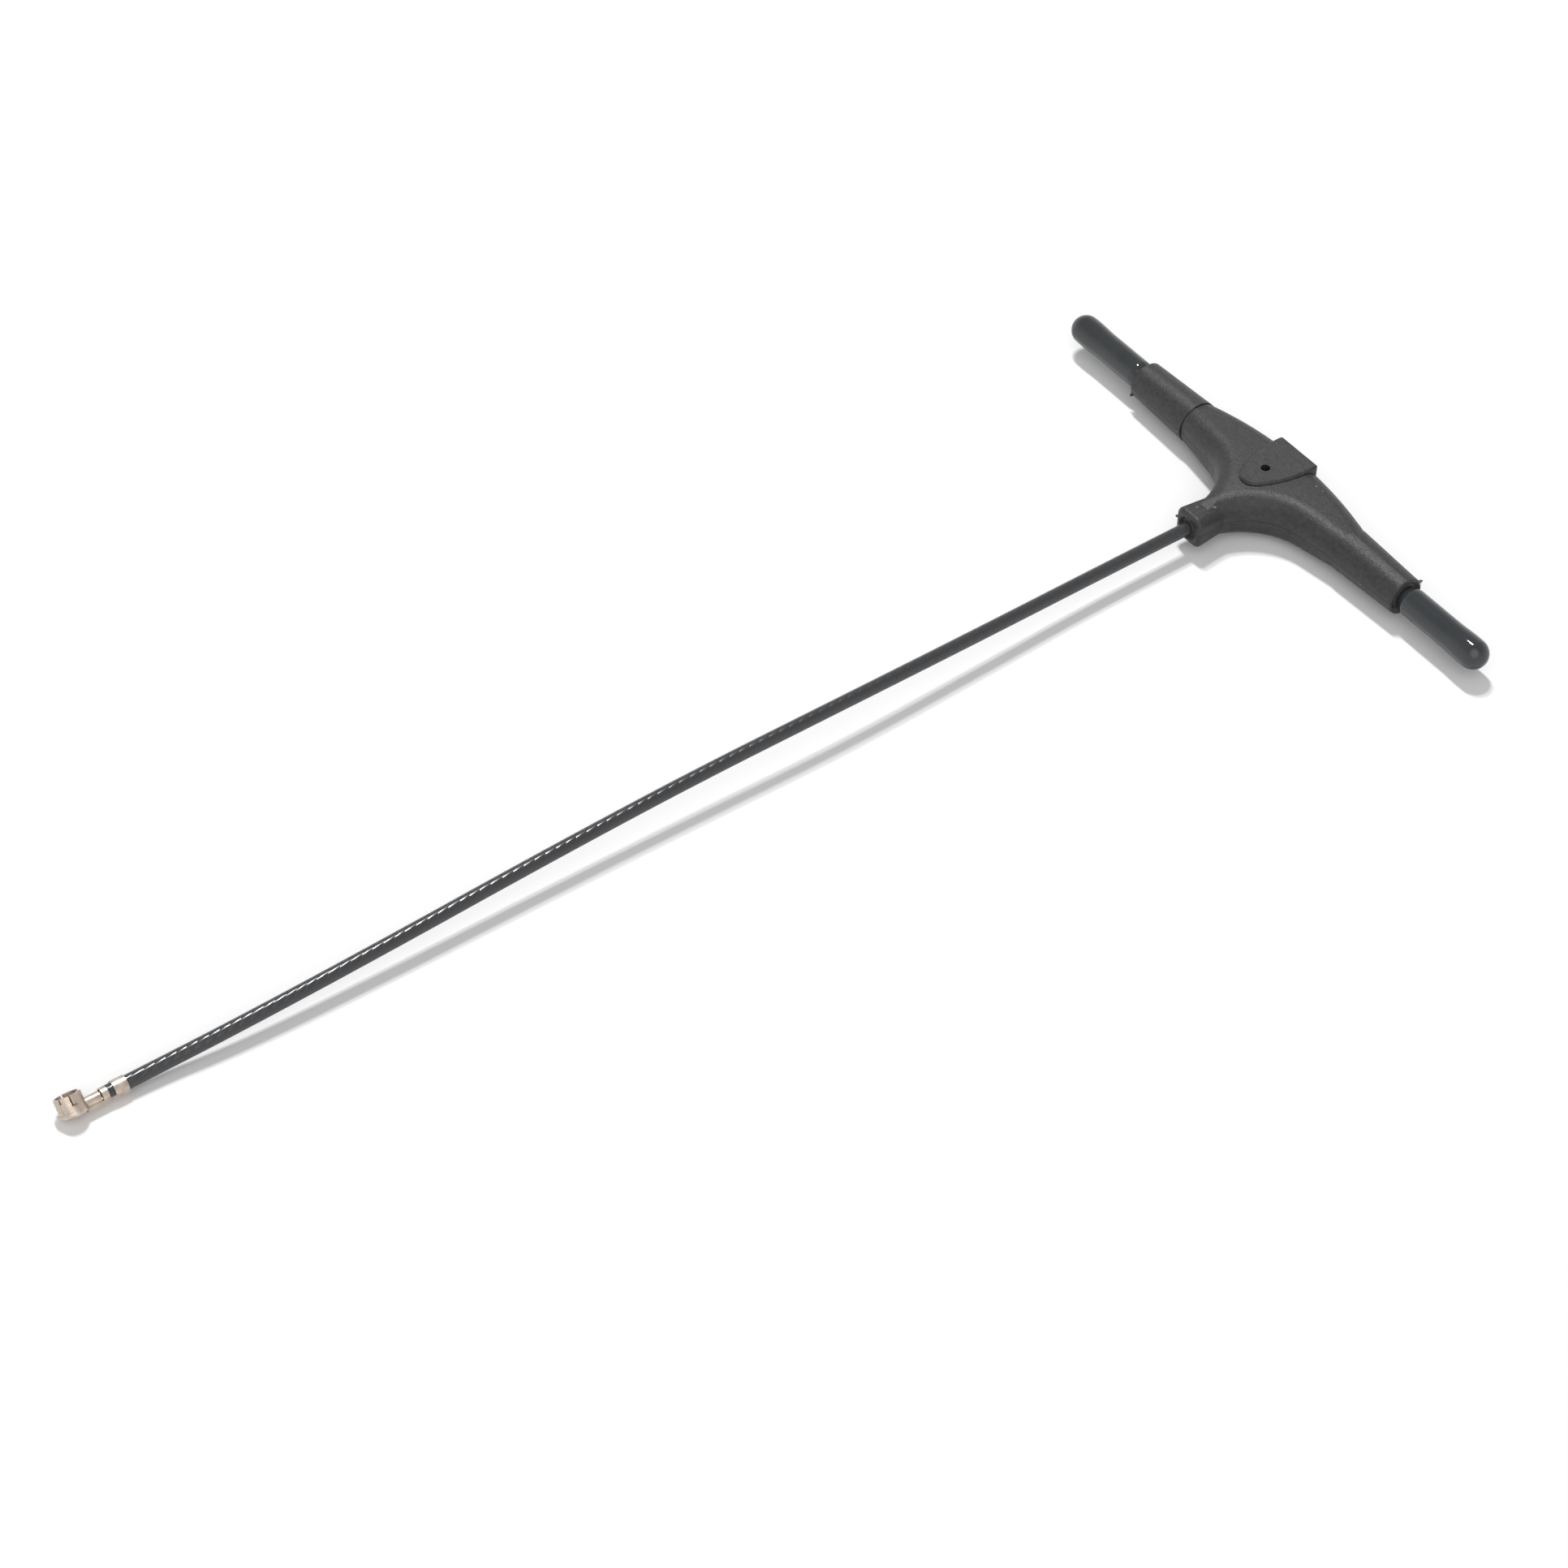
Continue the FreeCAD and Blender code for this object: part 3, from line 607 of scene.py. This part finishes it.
# %% [markdown]
# At the front of the ring the insulator comes out through the metal as a rounded cream apron. It could be
# cut from a ring, but a spun section keeps its rounded edges. The section, as levels and radii in
# millimetres, is spun about the ring's own axis, which lies rolled over with the plug, through the part of
# a turn between two notches.

# %% Cream apron
ROLL_OVER, APRON_HALF = math.radians(42), math.radians(32)
RING_CENTRE = Vector((0.29, -112.99, 0.9959))
RING_FRONT = Vector((0, -1, 0))
APRON = [(-0.02, 1.0), (-0.02, 1.07), (0.04, 1.088), (0.98, 1.088), (1.06, 1.075), (1.1, 1.04), (1.1, 1.0)]
APRON_STEPS = 16

ring_up = Vector((-math.sin(ROLL_OVER), 0, math.cos(ROLL_OVER)))
ring_side = Vector((math.cos(ROLL_OVER), 0, math.sin(ROLL_OVER)))
start = RING_FRONT * math.cos(APRON_HALF) + ring_side * math.sin(APRON_HALF)
points = [RING_CENTRE + ring_up * height + start * radius for height, radius in APRON]
apron = spun("plug_apron", points + points[:1], RING_CENTRE, ring_up, APRON_STEPS, 2 * APRON_HALF)
wear(apron, cream_finish)
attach(apron, "root")
reach = [round((v.co / MM - RING_CENTRE).dot(ring_side), 2) for v in apron.data.vertices]
print("apron", len(apron.data.polygons), "faces, across", min(reach), max(reach))

# %% [markdown]
# The tail can be laid in many ways, and the plug goes with it, though a shape alone doesn't say so.

print("tail and plug laid as drawn")

# %% [markdown]
# The antenna lies on plain white. The floor takes the shadow as a pale matt surface, and a little of its
# own white is added for the camera and for mirror rays alone, more of it far from the lamps, so that the
# ground is white right to the horizon and nothing is lit by it.

# %% Floor
FLOOR_SIZE, FLOOR_ROUGHNESS = 6, 0.9
PALE_GROUND, WHITE = (0.8, 0.8, 0.8, 1), (1, 1, 1, 1)
NEAR_GLOW, FAR_GLOW, NEAR, FAR = 0.02, 0.8, 0.22, 1.1

bpy.ops.object.select_all(action="DESELECT")
bpy.ops.mesh.primitive_plane_add(size=FLOOR_SIZE)
floor = bpy.context.object
floor.name = "floor"
floor_finish, tree, shader = start_finish("white_ground")
shader.inputs["Base Color"].default_value = PALE_GROUND
shader.inputs["Roughness"].default_value = FLOOR_ROUGHNESS
shader.inputs["Specular IOR Level"].default_value = 0.0
shader.inputs["Emission Color"].default_value = WHITE
path = add(tree, "ShaderNodeLightPath")
seen = maths(tree, "MAXIMUM", path.outputs["Is Camera Ray"], path.outputs["Is Glossy Ray"])
away = add(tree, "ShaderNodeVectorMath", operation="LENGTH")
join(tree, place_on_piece(tree), away.inputs[0])
white = mapped(tree, away.outputs["Value"], NEAR_GLOW, FAR_GLOW, NEAR, FAR)
join(tree, maths(tree, "MULTIPLY", seen, white), shader.inputs["Emission Strength"])
wear(floor, floor_finish)
print("floor:", FLOOR_SIZE, "m square")

# %% [markdown]
# The room is plain: a pale horizon, a dimmer ceiling, and one soft bright window high in front, which fills
# the walls of the T on that side and puts pale patches on the plug's wings. A lamp there would leave a
# hard-edged disc on the rods. The camera itself sees plain white.

# %% Surroundings
HORIZON_GLOW, CEILING_GLOW, HORIZON_Z, CEILING_Z = 1.0, 0.38, 0.12, 0.7
FILL_SIDE, FILL_BEHIND, FILL_FRONT = (0.5, -0.8, 0.3), 0.26, 0.75
WINDOW_SIDE, WINDOW_GLOW, WINDOW_EDGE, WINDOW_HEART = (0.58, -0.4, 0.71), 1.4, 0.76, 0.99
SEEN_GLOW = 1.0


def towards(tree, way, side):
    """How far a way points to one side, from -1 to 1."""
    node = add(tree, "ShaderNodeVectorMath", operation="DOT_PRODUCT")
    node.inputs[1].default_value = side
    join(tree, way, node.inputs[0])
    return node.outputs["Value"]


def chosen(tree, mask, usual, other):
    """The usual value where the mask is 0, and the other where it is 1."""
    mix = add(tree, "ShaderNodeMix", data_type="FLOAT")
    for key, source in (("Factor", mask), ("A", usual)):
        join(tree, source, mix.inputs[key])
    if isinstance(other, float):
        mix.inputs["B"].default_value = other
    else:
        join(tree, other, mix.inputs["B"])
    return mix.outputs["Result"]


world = bpy.data.worlds.new("plain_studio")
bpy.context.scene.world = world
world.use_nodes = True
tree = world.node_tree
sky = tree.nodes["Background"]
sky.inputs["Color"].default_value = WHITE
way = add(tree, "ShaderNodeTexCoord").outputs["Generated"]
path = add(tree, "ShaderNodeLightPath")
height = add(tree, "ShaderNodeSeparateXYZ")
join(tree, way, height.inputs["Vector"])
ceiling = mapped(tree, height.outputs["Z"], HORIZON_GLOW, CEILING_GLOW, HORIZON_Z, CEILING_Z)
fill = mapped(tree, towards(tree, way, FILL_SIDE), FILL_BEHIND, FILL_FRONT)
window = mapped(tree, towards(tree, way, WINDOW_SIDE), 0.0, WINDOW_GLOW, WINDOW_EDGE, WINDOW_HEART,
                interpolation_type="SMOOTHSTEP")
mirrored = maths(tree, "MAXIMUM", path.outputs["Is Glossy Ray"], path.outputs["Is Transmission Ray"])
room = maths(tree, "ADD", chosen(tree, mirrored, fill, ceiling), window)
join(tree, chosen(tree, path.outputs["Is Camera Ray"], room, SEEN_GLOW), sky.inputs["Strength"])
print("room:", len(tree.nodes), "nodes")

# %% [markdown]
# The highlights say where the lamps were: two small ones side by side, high behind the left arm, which also
# throw the shadows towards the camera. They are round area lamps, because a point would make the shadows'
# edges too hard, and their spots are in millimetres.

# %% Lamps
LAMP_SPOTS = {"key_left": (-400, 110, 890), "key_right": (-290, 110, 890)}
LAMP_WIDTH, LAMP_WATTS = 80 * MM, 3.35
LAMP_AIM = Vector((0, -0.04, 0))

for name, spot in LAMP_SPOTS.items():
    lamp_data = bpy.data.lights.new(name, "AREA")
    lamp_data.shape = "DISK"
    lamp_data.size = LAMP_WIDTH
    lamp_data.energy = LAMP_WATTS
    lamp = bpy.data.objects.new(name, lamp_data)
    bpy.context.scene.collection.objects.link(lamp)
    lamp.location = Vector(spot) * MM
    lamp.rotation_euler = (LAMP_AIM - lamp.location).to_track_quat("-Z", "Y").to_euler()
print("lamps:", len(LAMP_SPOTS))

# %% [markdown]
# Last come the view settings. The Standard view keeps the white ground white. The dressed antenna must not
# outgrow its solids.

# %% Finish
bpy.context.scene.view_settings.view_transform = "Standard"
bpy.context.view_layer.update()
